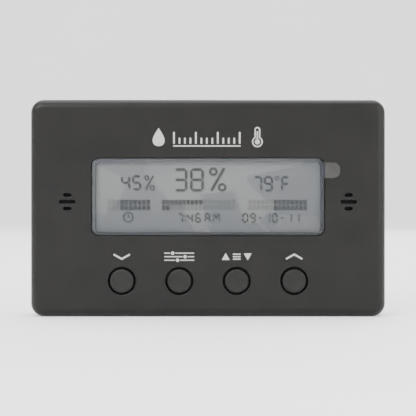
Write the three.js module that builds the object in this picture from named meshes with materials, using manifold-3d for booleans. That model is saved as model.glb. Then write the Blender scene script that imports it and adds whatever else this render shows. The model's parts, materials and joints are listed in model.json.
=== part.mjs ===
// A pocket digital hygrometer: a two-shell plastic case with a display window, four push keys,
// side vents for the humidity and temperature sensors, a circuit board and a coin cell under a
// coin-slot door in the back. Millimetres, +Z up. The display faces -Y and the case stands on its
// bottom edge at z = 0. Front to back, y runs from the key tops to the back face.
import * as THREE from "three";
import { mergeVertices } from "three/addons/utils/BufferGeometryUtils.js";
import Module from "manifold-3d";

const wasm = await Module();
wasm.setup();

// ---- Driving dimensions ----

const WIDTH = 86;
const HEIGHT = 52.6;
const FRONT = -5.5; // front face of the case
const BACK = 6; // back face of the case
const SPLIT = 1.5; // where the front and rear shells part
const SEAM = 0.1; // visible gap between the shells
const CORNER_RADIUS = 3.2;
const FRONT_FILLET = 2.2;
const REAR_FILLET = 1.6;
const SIDE_WALL = 1.8;
const FRONT_WALL = 2;
const REAR_WALL = 1.6;
const FIT = 0.15; // clearance between a loose piece and its pocket
const TOUCH = 0.02; // gap between flat faces that bear on each other

const DISPLAY_Z = 29; // centre height of the display
const SIGHT = { width: 54.6, height: 17, radius: 0.9 }; // the window that is seen through
const LENS_MARGIN = 0.9; // lens pocket beyond the sight opening
const LENS_DEPTH = 0.95;
const POCKET_DEPTH = 1.2;
const FILM = { width: 55.6, height: 18, radius: 1.5, thickness: 0.1 };
const FILM_TAB = { right: 31.8, z: 35.4, height: 3.8 };

const KEY_PITCH = 13.85;
const KEY_Z = 8.7;
const KEY_RADIUS = 2.9;
const KEY_HOLE_RADIUS = 3.2;
const KEY_PROUD = 0.5;
const KEY_FLANGE_RADIUS = 3.9;

const VENT_X = 33.9;
const VENT_Z = 27.8;
const VENT_SLOTS = [
  { width: 1.9, rise: 1.65 },
  { width: 3.9, rise: 0 },
  { width: 1.9, rise: -1.65 },
];
const VENT_SLOT_HEIGHT = 0.8;

const BOARD_FRONT = -0.5;
const BOARD_BACK = 0.5;
const BOARD_HALF_WIDTH = 39.2;
const BOARD_BOTTOM = 3.4;
const BOARD_TOP = 43.6;

const CASE_SCREWS = mirrored([37.6, 5.4], [37.6, 47.2]);
const BOARD_SCREWS = mirrored([36.2, 14.5], [36.2, 41]);

const CELL = { x: 0, z: 27, radius: 10, front: 1.5, back: 4.7 };
const DOOR_RADIUS = 12.6;
const DOOR_FRONT = 4.75;
const SKIRT_RADIUS = 10.75;
const LUG_RADIUS = 11.75;
const LUG_ANGLES = [90, 210, 330];
const LUG_SPAN = 28;
const DOOR_TURN = 40; // degrees from the open mark to locked
const WELL_RADIUS = 10.4;
const WELL_OUTER_RADIUS = 13.3;
const SEAL = { inner: 11.22, outer: 11.88, front: 4.67, back: 5.2 };

// ---- Materials ----

function material(color, roughness, metalness = 0) {
  return new THREE.MeshStandardMaterial({ color, roughness, metalness });
}

const caseBlack = material(0x1b1b1a, 0.42);
const keyBlack = material(0x1f1e1d, 0.6);
const clearAcrylic = material(0xd8dcde, 0.05);
const filmClear = material(0xc9cccc, 0.2);
const tapeGrey = material(0x4a4b4d, 0.8);
const glassGrey = material(0xa9b0ac, 0.08);
const reflectorSilver = material(0x9aa09e, 0.35, 0.4);
const elastomerPink = material(0xc98f86, 0.7);
const carrierWhite = material(0xdedbd2, 0.6);
const siliconeGrey = material(0x8b8d8e, 0.7);
const carbonBlack = material(0x181818, 0.9);
const boardGreen = material(0x1f5a36, 0.45);
const epoxyBlack = material(0x0c0c0c, 0.25);
const chipDark = material(0x2a2622, 0.5);
const ceramicTan = material(0xb59a72, 0.6);
const sensorWhite = material(0xe6e6e0, 0.5);
const meshDark = material(0x26282a, 0.95);
const nickel = material(0xb9b9b4, 0.25, 1);
const stainless = material(0xc4c4c0, 0.22, 1);
const lithium = material(0x9c9c98, 0.5, 1);
const zincScrew = material(0x3a3a3c, 0.35, 1);

// ---- Solids ----

// Points at +x and -x of each given point.
function mirrored(...points) {
  return points.flatMap(([x, z]) => [
    [-x, z],
    [x, z],
  ]);
}

// A closed geometry as a manifold-3d solid, with its faces pointing out.
function solid(geometry) {
  const bare = geometry.clone();
  bare.deleteAttribute("normal");
  bare.deleteAttribute("uv");
  const merged = mergeVertices(bare, 1e-4);
  const corners = [];
  const index = merged.index.array;
  for (let i = 0; i < index.length; i += 3) {
    const [a, b, c] = [index[i], index[i + 1], index[i + 2]];
    if (a !== b && b !== c && c !== a) corners.push(a, b, c);
  }
  const make = (triVerts) =>
    new wasm.Manifold(
      new wasm.Mesh({
        numProp: 3,
        vertProperties: merged.attributes.position.array,
        triVerts: new Uint32Array(triVerts),
      }),
    );
  const made = make(corners);
  return made.volume() < 0 ? make(corners.reverse()) : made;
}

function geometryOf(made) {
  const mesh = made.asOriginal().simplify(0.002).getMesh();
  const geometry = new THREE.BufferGeometry();
  geometry.setAttribute("position", new THREE.BufferAttribute(mesh.vertProperties, 3));
  geometry.setIndex(new THREE.BufferAttribute(mesh.triVerts, 1));
  geometry.computeVertexNormals();
  return geometry;
}

// Cuts every tool from a solid.
function cut(made, ...tools) {
  return tools.reduce((rest, tool) => rest.subtract(tool), made);
}

function join(...solids) {
  return solids.reduce((sum, piece) => sum.add(piece));
}

// Rounded rectangle seen from the front, with its centre at (x, z).
function roundedRect(width, height, radius, x = 0, z = 0) {
  const [w, h] = [width / 2 - radius, height / 2 - radius];
  const shape = new THREE.Shape();
  shape.absarc(x + w, z - h, radius, -Math.PI / 2, 0, false);
  shape.absarc(x + w, z + h, radius, 0, Math.PI / 2, false);
  shape.absarc(x - w, z + h, radius, Math.PI / 2, Math.PI, false);
  shape.absarc(x - w, z - h, radius, Math.PI, 1.5 * Math.PI, false);
  return shape;
}

// Ring sector about the door's axis. Angles are in degrees, from +X towards +Z.
function sector(innerRadius, outerRadius, from, to) {
  const [a, b] = [from, to].map(THREE.MathUtils.degToRad);
  const shape = new THREE.Shape();
  shape.absarc(CELL.x, CELL.z, outerRadius, a, b, false);
  shape.absarc(CELL.x, CELL.z, innerRadius, b, a, true);
  return shape;
}

// A shape of the XZ plane, made solid from y = front to y = back.
function plate(shape, front, back, curveSegments = 3) {
  const geometry = new THREE.ExtrudeGeometry(shape, {
    depth: back - front,
    bevelEnabled: false,
    curveSegments,
  });
  return solid(geometry.rotateX(Math.PI / 2).translate(0, back, 0));
}

// As plate, with both rims rounded to a fillet.
function pillow(shape, front, back, fillet) {
  const geometry = new THREE.ExtrudeGeometry(shape, {
    depth: back - front - 2 * fillet,
    bevelEnabled: true,
    bevelThickness: fillet,
    bevelSize: fillet,
    bevelOffset: -fillet,
    bevelSegments: 4,
    curveSegments: 3,
  });
  return solid(geometry.rotateX(Math.PI / 2).translate(0, back - fillet, 0));
}

function box(x0, x1, y0, y1, z0, z1) {
  const geometry = new THREE.BoxGeometry(x1 - x0, y1 - y0, z1 - z0);
  return solid(geometry.translate((x0 + x1) / 2, (y0 + y1) / 2, (z0 + z1) / 2));
}

function disc(radius, front, back, x = 0, z = 0, segments = 14) {
  const geometry = new THREE.CylinderGeometry(radius, radius, back - front, segments);
  return solid(geometry.translate(x, (front + back) / 2, z));
}

// A profile of [radius, y] points turned about the Y axis through (x, z).
function turned(profile, x = 0, z = 0, segments = 20) {
  const points = profile.map(([radius, y]) => new THREE.Vector2(radius, y));
  return solid(new THREE.LatheGeometry(points, segments).translate(x, 0, z));
}

function ring(innerRadius, outerRadius, front, back, x, z, segments) {
  const profile = [
    [innerRadius, front],
    [outerRadius, front],
    [outerRadius, back],
    [innerRadius, back],
    [innerRadius, front],
  ];
  return turned(profile, x, z, segments);
}

// ---- The assembly ----

const hygrometer = new THREE.Group();

function add(name, made, look, x = 0, z = 0) {
  const mesh = new THREE.Mesh(geometryOf(made), look);
  mesh.name = name;
  mesh.position.set(x, 0, z);
  hygrometer.add(mesh);
}

// ---- Case shells ----

function caseOutline(inset = 0) {
  const radius = Math.max(CORNER_RADIUS - inset, 0.6);
  return roundedRect(WIDTH - 2 * inset, HEIGHT - 2 * inset, radius, 0, HEIGHT / 2);
}

const RIM_STEP = 0.9; // the rear shell's tongue takes half of the wall
const RIM_DEPTH = 1.3;

function sightShape(grow, radius) {
  return roundedRect(SIGHT.width + 2 * grow, SIGHT.height + 2 * grow, radius, 0, DISPLAY_Z);
}

function keyX(index) {
  return (index - 1.5) * KEY_PITCH;
}

const KEYS = ["down", "set", "recall", "up"];

function ventCuts() {
  return mirrored([VENT_X, VENT_Z]).flatMap(([x, z]) =>
    VENT_SLOTS.map(({ width, rise }) => {
      const slot = roundedRect(width, VENT_SLOT_HEIGHT, VENT_SLOT_HEIGHT / 2 - 0.01, x, z + rise);
      return plate(slot, FRONT - 1, FRONT + FRONT_WALL + 0.5, 2);
    }),
  );
}

// A hole whose front edge opens out in a small flare.
function keyHole(x) {
  const flare = 0.3;
  const profile = [
    [0, FRONT - 1],
    [KEY_HOLE_RADIUS + flare, FRONT - 1],
    [KEY_HOLE_RADIUS + flare, FRONT],
    [KEY_HOLE_RADIUS, FRONT + flare],
    [KEY_HOLE_RADIUS, FRONT + FRONT_WALL + 1],
    [0, FRONT + FRONT_WALL + 1],
  ];
  return turned(profile, x, KEY_Z, 24);
}

const CASE_BOSS = { radius: 2.6, end: 0.2, bore: 1.05, boreEnd: -2.9 };
const BOARD_POST = { radius: 1.7, bore: 0.85, boreEnd: -2.9 };

function frontHousing() {
  const inside = FRONT + FRONT_WALL;
  const rooted = inside - 0.5; // bosses start inside the wall
  const shell = pillow(caseOutline(), FRONT, BACK, FRONT_FILLET);
  const walls = cut(
    shell,
    box(-WIDTH, WIDTH, SPLIT, BACK + 1, -1, HEIGHT + 1),
    plate(caseOutline(SIDE_WALL), inside, BACK),
    plate(caseOutline(SIDE_WALL - RIM_STEP), SPLIT - RIM_DEPTH, BACK),
  );
  const bosses = CASE_SCREWS.map(([x, z]) => disc(CASE_BOSS.radius, rooted, CASE_BOSS.end, x, z));
  const posts = BOARD_SCREWS.map(([x, z]) =>
    disc(BOARD_POST.radius, rooted, BOARD_FRONT - TOUCH, x, z, 12),
  );
  const bores = [
    ...CASE_SCREWS.map(([x, z]) => disc(CASE_BOSS.bore, CASE_BOSS.boreEnd, SPLIT, x, z, 10)),
    ...BOARD_SCREWS.map(([x, z]) => disc(BOARD_POST.bore, BOARD_POST.boreEnd, SPLIT, x, z, 8)),
  ];
  return cut(
    join(walls, ...bosses, ...posts),
    ...bores,
    plate(sightShape(LENS_MARGIN, SIGHT.radius + LENS_MARGIN), FRONT - 1, FRONT + POCKET_DEPTH),
    plate(sightShape(0, SIGHT.radius), FRONT, inside + 1),
    ...KEYS.map((_, i) => keyHole(keyX(i))),
    ...ventCuts(),
  );
}

const REAR_BOSS = { radius: 3, front: 0.3, bore: 1.25, headRadius: 2.2, headSeat: 4.35 };
const LEDGE = { front: 3.85, back: 4.65, radius: 10.95 };
const GROOVE_FRONT = 2.8;
const GROOVE_RADIUS = 12;
const TURN_SLACK = 3; // degrees between a lug and its stop

// The openings of the bayonet: a recess for the disc, a bore for the skirt, an entry notch for
// each lug, and a groove behind the ledge that each lug turns along to its stop.
function bayonetCuts() {
  const half = LUG_SPAN / 2 + TURN_SLACK;
  const inner = LEDGE.radius - 0.5;
  return [
    disc(DOOR_RADIUS + 0.25, LEDGE.back, BACK + 1, CELL.x, CELL.z, 36),
    disc(LEDGE.radius, GROOVE_FRONT, BACK, CELL.x, CELL.z, 36),
    disc(WELL_RADIUS, 0, BACK, CELL.x, CELL.z, 36),
    ...LUG_ANGLES.flatMap((angle) => [
      plate(sector(inner, GROOVE_RADIUS, angle - half, angle + half), GROOVE_FRONT, BACK, 2),
      plate(
        sector(inner, GROOVE_RADIUS, angle - half, angle + half + DOOR_TURN),
        GROOVE_FRONT,
        LEDGE.front,
        4,
      ),
    ]),
  ];
}

function rearHousing() {
  const front = SPLIT + SEAM;
  const inside = BACK - REAR_WALL;
  const shell = cut(
    pillow(caseOutline(), FRONT, BACK, REAR_FILLET),
    box(-WIDTH, WIDTH, FRONT - 1, front, -1, HEIGHT + 1),
    plate(caseOutline(SIDE_WALL), FRONT, inside),
  );
  const tongueFront = SPLIT - RIM_DEPTH + SEAM;
  const tongue = cut(
    plate(caseOutline(SIDE_WALL - RIM_STEP + SEAM), tongueFront, front + 0.5),
    plate(caseOutline(SIDE_WALL), tongueFront - 1, front + 1),
  );
  const bosses = CASE_SCREWS.map(([x, z]) =>
    disc(REAR_BOSS.radius, REAR_BOSS.front, inside + 0.2, x, z),
  );
  const well = disc(WELL_OUTER_RADIUS, 0.8, inside + 0.2, CELL.x, CELL.z, 36);
  const screwCuts = CASE_SCREWS.flatMap(([x, z]) => [
    disc(REAR_BOSS.bore, 0, BACK, x, z, 10),
    disc(REAR_BOSS.headRadius, REAR_BOSS.headSeat, BACK + 1, x, z, 16),
  ]);
  return cut(join(shell, tongue, ...bosses, well), ...screwCuts, ...bayonetCuts());
}

add("front_housing", frontHousing(), caseBlack);
add("rear_housing", rearHousing(), caseBlack);

// ---- Fasteners ----

// Pan head with a cross recess, a plain shank and cutting rings where the thread bites.
function screw(headRadius, headDepth, shankRadius, length, threadLength, segments) {
  const profile = [
    [0, headDepth],
    [headRadius * 0.72, headDepth],
    [headRadius, headDepth * 0.55],
    [headRadius, 0],
    [shankRadius, 0],
    [shankRadius, threadLength - length],
  ];
  const pitch = 0.8;
  const rings = Math.floor(threadLength / pitch);
  for (let i = 0; i < rings; i += 1) {
    const y = threadLength - length - i * pitch;
    profile.push([shankRadius * 0.8, y - pitch * 0.35], [shankRadius * 1.08, y - pitch * 0.75]);
  }
  profile.push([shankRadius * 0.4, -length], [0, -length]);
  const slot = headRadius * 0.62;
  const recess = (x, z) => box(-x, x, headDepth * 0.45, headDepth + 1, -z, z);
  return cut(turned(profile, 0, 0, segments), recess(slot, 0.26), recess(0.26, slot));
}

const caseScrew = screw(1.95, 1.3, 0.88, 6.8, 2.6, 12).translate(0, REAR_BOSS.headSeat + TOUCH, 0);
CASE_SCREWS.forEach(([x, z], i) => add(`case_screw_${i + 1}`, caseScrew, zincScrew, x, z));

const boardScrew = screw(1.5, 0.9, 0.7, 3.2, 1.8, 10).translate(0, BOARD_BACK + TOUCH, 0);
BOARD_SCREWS.forEach(([x, z], i) => add(`board_screw_${i + 1}`, boardScrew, nickel, x, z));

// ---- Display window ----

const lensBack = FRONT + LENS_DEPTH;
const lensGrow = LENS_MARGIN - FIT;
const lensShape = sightShape(lensGrow, SIGHT.radius + lensGrow);
add("display_lens", plate(lensShape, FRONT, lensBack), clearAcrylic);

const tape = cut(
  plate(lensShape, lensBack + TOUCH, FRONT + POCKET_DEPTH - TOUCH),
  plate(sightShape(0, SIGHT.radius), FRONT, 0),
);
add("lens_adhesive_frame", tape, tapeGrey);

// The peel-off film lies on the window, and its pull tab reaches past the top right corner.
function displayFilm() {
  const [front, back] = [FRONT - TOUCH - FILM.thickness, FRONT - TOUCH];
  const sheet = roundedRect(FILM.width, FILM.height, FILM.radius, 0, DISPLAY_Z);
  const tabWidth = FILM_TAB.right - FILM.width / 2 + 4;
  const tabX = FILM_TAB.right - tabWidth / 2;
  const tab = roundedRect(tabWidth, FILM_TAB.height, 1.8, tabX, FILM_TAB.z);
  return join(plate(sheet, front, back), plate(tab, front, back));
}
add("display_film", displayFilm(), filmClear);

// ---- Liquid crystal display ----

const GLASS_WIDTH = 59;
const FRONT_GLASS_HEIGHT = 25;
const REAR_GLASS_HEIGHT = 20.4;
const POLARISER = { width: 57.4, height: 19.6, thickness: 0.2 };
const GLASS_THICKNESS = 0.7;
const frontGlassFront = -3.2;
const rearGlassFront = frontGlassFront + GLASS_THICKNESS + TOUCH;
const rearGlassBack = rearGlassFront + GLASS_THICKNESS;

function displayLayer(width, height, front, thickness) {
  const [w, h] = [width / 2, height / 2];
  return box(-w, w, front, front + thickness, DISPLAY_Z - h, DISPLAY_Z + h);
}

add(
  "lcd_front_polariser",
  displayLayer(
    POLARISER.width,
    POLARISER.height,
    frontGlassFront - TOUCH - POLARISER.thickness,
    POLARISER.thickness,
  ),
  glassGrey,
);
add(
  "lcd_front_glass",
  displayLayer(GLASS_WIDTH, FRONT_GLASS_HEIGHT, frontGlassFront, GLASS_THICKNESS),
  glassGrey,
);
add(
  "lcd_rear_glass",
  displayLayer(GLASS_WIDTH, REAR_GLASS_HEIGHT, rearGlassFront, GLASS_THICKNESS),
  glassGrey,
);
add(
  "lcd_reflector",
  displayLayer(POLARISER.width, POLARISER.height, rearGlassBack + TOUCH, POLARISER.thickness),
  reflectorSilver,
);

const ZEBRA = { length: 55, height: 1.6, offset: 11.35 };
for (const [name, side] of [
  ["upper", 1],
  ["lower", -1],
]) {
  const z = DISPLAY_Z + side * ZEBRA.offset;
  const [half, front] = [ZEBRA.height / 2, rearGlassFront + TOUCH];
  const strip = box(
    -ZEBRA.length / 2,
    ZEBRA.length / 2,
    front,
    BOARD_FRONT - TOUCH,
    z - half,
    z + half,
  );
  add(`zebra_connector_${name}`, strip, elastomerPink);
}

function displayCarrier() {
  const [front, back] = [-3.45, BOARD_FRONT - 0.05];
  const frame = cut(
    plate(roundedRect(63, 29, 1.2, 0, DISPLAY_Z), front, back, 1),
    displayLayer(GLASS_WIDTH + 2 * FIT, FRONT_GLASS_HEIGHT + 2 * FIT, front - 1, 5),
  );
  const rib = (side) => {
    const [inner, outer] = [9.5, 10.3].map((r) => DISPLAY_Z + side * r);
    return box(-30, 30, -1.45, back, Math.min(inner, outer), Math.max(inner, outer));
  };
  return join(frame, rib(1), rib(-1));
}
add("display_carrier", displayCarrier(), carrierWhite);

// ---- Keys ----

const flangeFront = FRONT + FRONT_WALL + 0.1;
const flangeBack = -2.7;
const keyTop = FRONT - KEY_PROUD;

const keyCap = turned(
  [
    [0, keyTop + 0.14],
    [2.1, keyTop],
    [2.6, keyTop + 0.04],
    [KEY_RADIUS, keyTop + 0.35],
    [KEY_RADIUS, flangeFront],
    [KEY_FLANGE_RADIUS, flangeFront],
    [KEY_FLANGE_RADIUS, flangeBack],
    [0, flangeBack],
  ],
  0,
  0,
  24,
);
const contactPill = disc(1.2, -1.75, -1.35, 0, 0, 12);

KEYS.forEach((name, i) => {
  add(`key_${name}`, keyCap, keyBlack, keyX(i), KEY_Z);
  add(`key_${name}_pill`, contactPill, carbonBlack, keyX(i), KEY_Z);
});

// One silicone mat with a hollow dome under each key.
function keypadMat() {
  const back = BOARD_FRONT - TOUCH;
  const sheet = plate(roundedRect(50.5, 9.4, 1.5, 0, KEY_Z), -1, back, 1);
  const outer = [
    [0, -2.65],
    [1.65, -2.65],
    [1.9, -2],
    [3, -0.95],
    [3, -0.7],
    [0, -0.7],
  ];
  const inner = [
    [0, -1.8],
    [1.5, -1.8],
    [2.5, -0.8],
    [2.5, 0],
    [0, 0],
  ];
  const domes = KEYS.map((_, i) => turned(outer, keyX(i), KEY_Z, 14));
  const hollows = KEYS.map((_, i) => turned(inner, keyX(i), KEY_Z, 14));
  return cut(join(sheet, ...domes), ...hollows);
}
add("keypad_mat", keypadMat(), siliconeGrey);

// ---- Circuit board and what is soldered to it ----

function circuitBoard() {
  const notch = { x: 33.9, z: 9.2 }; // clears the lower case bosses
  const w = BOARD_HALF_WIDTH;
  const corners = [
    [-notch.x, BOARD_BOTTOM],
    [notch.x, BOARD_BOTTOM],
    [notch.x, notch.z],
    [w, notch.z],
    [w, BOARD_TOP],
    [-w, BOARD_TOP],
    [-w, notch.z],
    [-notch.x, notch.z],
  ];
  const outline = new THREE.Shape(corners.map(([x, z]) => new THREE.Vector2(x, z)));
  return cut(
    plate(outline, BOARD_FRONT, BOARD_BACK),
    ...BOARD_SCREWS.map(([x, z]) => disc(0.95, BOARD_FRONT - 1, BOARD_BACK + 1, x, z, 10)),
  );
}
add("circuit_board", circuitBoard(), boardGreen);

const onBack = BOARD_BACK + TOUCH;
const onFront = BOARD_FRONT - TOUCH;

const controller = turned(
  [
    [0, onBack],
    [5.2, onBack],
    [5, onBack + 0.45],
    [4.2, onBack + 0.9],
    [2.6, onBack + 1.2],
    [0, onBack + 1.3],
  ],
  0,
  0,
  24,
);
add("controller_glob_top", controller, epoxyBlack, -25, 26);

function crystal() {
  const can = new THREE.CylinderGeometry(1, 1, 6, 16).rotateZ(Math.PI / 2);
  const lead = (z) =>
    join(
      box(2.9, 4.4, onBack + 0.9, onBack + 1.2, z - 0.15, z + 0.15),
      box(4.1, 4.4, onBack, onBack + 1.2, z - 0.15, z + 0.15),
    );
  return join(solid(can.translate(0, onBack + 1.05, 0)), lead(0.5), lead(-0.5));
}
add("clock_crystal", crystal(), nickel, -26, 13.5);

function chip(length, height, thickness) {
  return box(-length / 2, length / 2, onBack, onBack + thickness, -height / 2, height / 2);
}
[
  ["resistor_1", 19, 11, chip(1.6, 0.8, 0.45), chipDark],
  ["resistor_2", 22, 11, chip(1.6, 0.8, 0.45), chipDark],
  ["resistor_3", 25, 11, chip(1.6, 0.8, 0.45), chipDark],
  ["capacitor_1", 20, 15, chip(2, 1.25, 0.9), ceramicTan],
  ["capacitor_2", 24, 15, chip(2, 1.25, 0.9), ceramicTan],
  ["reservoir_capacitor", 26, 24, chip(7.3, 4.3, 1.9), ceramicTan],
].forEach(([name, x, z, made, look]) => add(name, made, look, x, z));

// Humidity element in a slotted cap, just behind the vents on one side.
function humiditySensor() {
  const front = onFront - 1.8;
  const slots = [-1.2, 0, 1.2].map((z) => box(-1.3, 1.3, front - 1, front + 0.8, z - 0.3, z + 0.3));
  return cut(box(-2, 2, front, onFront, -2.5, 2.5), ...slots);
}
add("humidity_sensor", humiditySensor(), sensorWhite, VENT_X + 0.3, VENT_Z);

// Thermistor bead on two legs, just behind the vents on the other side.
function thermistor() {
  const beadY = onFront - 1.5;
  const bead = new THREE.SphereGeometry(0.85, 12, 8).scale(1, 1, 1.3).translate(0, beadY, 0);
  const legs = [-0.5, 0.5].map((x) => disc(0.2, beadY, onFront, x, 0, 8));
  return join(solid(bead), ...legs);
}
add("thermistor", thermistor(), epoxyBlack, -VENT_X - 0.3, VENT_Z);

// Porous membranes keep dust out of the vents.
for (const [name, side] of [
  ["left", -1],
  ["right", 1],
]) {
  const front = FRONT + FRONT_WALL + 0.05;
  const shape = roundedRect(4.6, 6.4, 0.6, side * (VENT_X + 0.15), VENT_Z);
  add(`vent_membrane_${name}`, plate(shape, front, front + 0.25, 1), meshDark);
}

// ---- Coin cell, contacts and door ----

// A bent leaf on the board that presses on the cell's negative face.
function negativeContact() {
  const t = 0.2;
  const [low, high] = [onBack, CELL.front - 0.05];
  const profile = [
    [-6, low],
    [-2, low],
    [4, high - t],
    [6, high - t],
    [6, high],
    [3.95, high],
    [-2.05, low + t],
    [-6, low + t],
  ];
  const shape = new THREE.Shape(profile.map(([x, y]) => new THREE.Vector2(x, y)));
  const strip = new THREE.ExtrudeGeometry(shape, { depth: 4, bevelEnabled: false });
  return solid(strip.translate(CELL.x, 0, CELL.z - 2));
}
add("battery_contact_negative", negativeContact(), nickel);

// A curved strip beside the cell that presses on its can.
function positiveContact() {
  const [inner, outer] = [CELL.radius + 0.08, WELL_RADIUS - 0.07];
  return join(
    plate(sector(inner, outer, 240, 300), onBack, GROOVE_FRONT - 0.2, 3),
    plate(sector(inner, outer + 2, 260, 280), onBack, onBack + 0.2, 1),
  );
}
add("battery_contact_positive", positiveContact(), nickel);

const { x: cellX, z: cellZ, radius: cellR, front: cellFront, back: cellBack } = CELL;

const cellCan = turned(
  [
    [0, cellBack],
    [cellR - 0.5, cellBack],
    [cellR - 0.12, cellBack - 0.12],
    [cellR, cellBack - 0.5],
    [cellR, cellFront + 0.55],
    [cellR - 0.12, cellFront + 0.28],
    [cellR - 0.3, cellFront + 0.28],
    [cellR - 0.3, cellBack - 0.3],
    [0, cellBack - 0.3],
  ],
  0,
  0,
  30,
);
const cellGasket = ring(9.1, cellR - 0.33, cellFront + 0.22, cellFront + 1, 0, 0, 30);
const cellCap = turned(
  [
    [0, cellFront],
    [8.6, cellFront],
    [8.95, cellFront + 0.12],
    [9.07, cellFront + 0.4],
    [9.07, cellFront + 1.6],
    [8.82, cellFront + 1.6],
    [8.82, cellFront + 0.28],
    [0, cellFront + 0.28],
  ],
  0,
  0,
  30,
);
add("coin_cell_can", cellCan, stainless, cellX, cellZ);
add("coin_cell_gasket", cellGasket, carbonBlack, cellX, cellZ);
add("coin_cell_cap", cellCap, stainless, cellX, cellZ);

const anodeBack = cellFront + 0.9;
const anode = disc(8.6, cellFront + 0.3, anodeBack, 0, 0, 24);
const cathode = disc(8.6, anodeBack + TOUCH, cellBack - 0.32, 0, 0, 24);
add("coin_cell_anode", anode, lithium, cellX, cellZ);
add("coin_cell_cathode", cathode, carbonBlack, cellX, cellZ);

// Disc, skirt round the cell, three lugs and a coin slot. It is drawn at its open mark.
function batteryDoor() {
  const lid = turned(
    [
      [0, DOOR_FRONT],
      [DOOR_RADIUS, DOOR_FRONT],
      [DOOR_RADIUS, BACK - 0.25],
      [DOOR_RADIUS - 0.25, BACK],
      [0, BACK],
    ],
    CELL.x,
    CELL.z,
    36,
  );
  const skirtFront = GROOVE_FRONT + 0.1;
  const skirt = ring(10.3, SKIRT_RADIUS, skirtFront, DOOR_FRONT + 0.3, CELL.x, CELL.z, 36);
  const lugs = LUG_ANGLES.map((angle) => {
    const half = LUG_SPAN / 2;
    const shape = sector(SKIRT_RADIUS - 0.2, LUG_RADIUS, angle - half, angle + half);
    return plate(shape, skirtFront, LEDGE.front - 0.1, 2);
  });
  const slot = plate(roundedRect(13, 1.9, 0.9), BACK - 0.75, BACK + 1)
    .rotate(0, DOOR_TURN, 0)
    .translate(CELL.x, 0, CELL.z);
  const groove = ring(
    SEAL.inner - 0.07,
    SEAL.outer + 0.07,
    DOOR_FRONT - 0.5,
    SEAL.back + 0.05,
    CELL.x,
    CELL.z,
    36,
  );
  return cut(join(lid, skirt, ...lugs), groove, slot);
}
add("battery_door", batteryDoor(), caseBlack);

// It seals the door against the ledge and stays still while the door turns.
const seal = ring(SEAL.inner, SEAL.outer, SEAL.front, SEAL.back, 0, 0, 36);
add("battery_door_seal", seal, siliconeGrey, cellX, cellZ);

export default hygrometer;
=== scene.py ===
"""The looks of a pocket digital hygrometer, built over its CAD frame.

Sizes in this file are in millimetres and are turned into metres as each mesh is made. Places come
from the CAD nodes. The display faces -Y, +Z is up and +X is to the reader's right.
"""

import json
import math

import bmesh
import bpy
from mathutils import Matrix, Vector
from mathutils.geometry import delaunay_2d_cdt, tessellate_polygon


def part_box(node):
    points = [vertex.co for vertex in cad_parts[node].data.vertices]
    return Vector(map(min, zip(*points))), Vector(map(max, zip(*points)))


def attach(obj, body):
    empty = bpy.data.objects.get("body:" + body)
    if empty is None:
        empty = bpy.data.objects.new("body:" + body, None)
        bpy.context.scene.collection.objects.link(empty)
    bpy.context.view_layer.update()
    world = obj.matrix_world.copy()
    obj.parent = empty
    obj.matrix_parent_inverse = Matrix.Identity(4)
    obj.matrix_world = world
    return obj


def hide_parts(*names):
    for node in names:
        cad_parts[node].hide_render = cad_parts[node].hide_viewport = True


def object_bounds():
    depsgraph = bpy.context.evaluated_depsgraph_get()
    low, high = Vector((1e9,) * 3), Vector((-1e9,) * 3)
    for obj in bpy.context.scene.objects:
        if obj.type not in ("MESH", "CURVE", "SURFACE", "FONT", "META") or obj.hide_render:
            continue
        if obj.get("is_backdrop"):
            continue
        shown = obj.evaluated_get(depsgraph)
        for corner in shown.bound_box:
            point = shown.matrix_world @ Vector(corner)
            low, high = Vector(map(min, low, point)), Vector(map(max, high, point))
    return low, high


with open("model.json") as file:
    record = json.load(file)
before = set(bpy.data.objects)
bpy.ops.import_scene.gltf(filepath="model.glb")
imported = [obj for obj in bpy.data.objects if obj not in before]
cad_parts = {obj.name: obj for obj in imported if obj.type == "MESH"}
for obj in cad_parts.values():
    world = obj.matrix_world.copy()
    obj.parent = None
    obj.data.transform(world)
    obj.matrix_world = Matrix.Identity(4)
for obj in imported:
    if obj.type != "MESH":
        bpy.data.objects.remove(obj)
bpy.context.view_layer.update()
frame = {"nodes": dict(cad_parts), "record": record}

MM = 0.001


def limits(node):
    """A CAD node's lowest and highest corners in millimetres."""
    low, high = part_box(node)
    return low / MM, high / MM


# ---- Outlines: lists of (x, z) points, counter-clockwise seen from the front ----


def rounded(width, height, radius, x=0.0, z=0.0, steps=8):
    """A rounded rectangle centred on (x, z)."""
    points = []
    w, h = width / 2 - radius, height / 2 - radius
    for quarter, (sx, sz) in enumerate(((1, -1), (1, 1), (-1, 1), (-1, -1))):
        for i in range(steps + 1):
            a = math.radians(90 * (quarter - 1) + 90 * i / steps)
            points.append((x + sx * w + radius * math.cos(a), z + sz * h + radius * math.sin(a)))
    return points


def round_outline(radius, x=0.0, z=0.0, angles=64):
    """A circle, or a shape whose radius depends on the angle in degrees. angles is a count or a list."""
    turns = [360 * i / angles for i in range(angles)] if isinstance(angles, int) else angles
    points = []
    for a in turns:
        r = radius(a) if callable(radius) else radius
        points.append((x + r * math.cos(math.radians(a)), z + r * math.sin(math.radians(a))))
    return points


def arc_points(x, z, radius, start, end, steps):
    """Points along an arc about (x, z), with its angles in degrees from +X towards +Z."""
    angles = [math.radians(start + (end - start) * i / steps) for i in range(steps + 1)]
    return [(x + radius * math.cos(a), z + radius * math.sin(a)) for a in angles]


def plus_outline(arm, half):
    """A plus sign about the origin, with arms of that length and half width."""
    points = []
    for turn in range(4):
        a = math.radians(90 * turn)
        for x, z in ((half, -half), (arm, -half), (arm, half)):
            points.append((x * math.cos(a) - z * math.sin(a), x * math.sin(a) + z * math.cos(a)))
    return points


# ---- Solids ----


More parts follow.
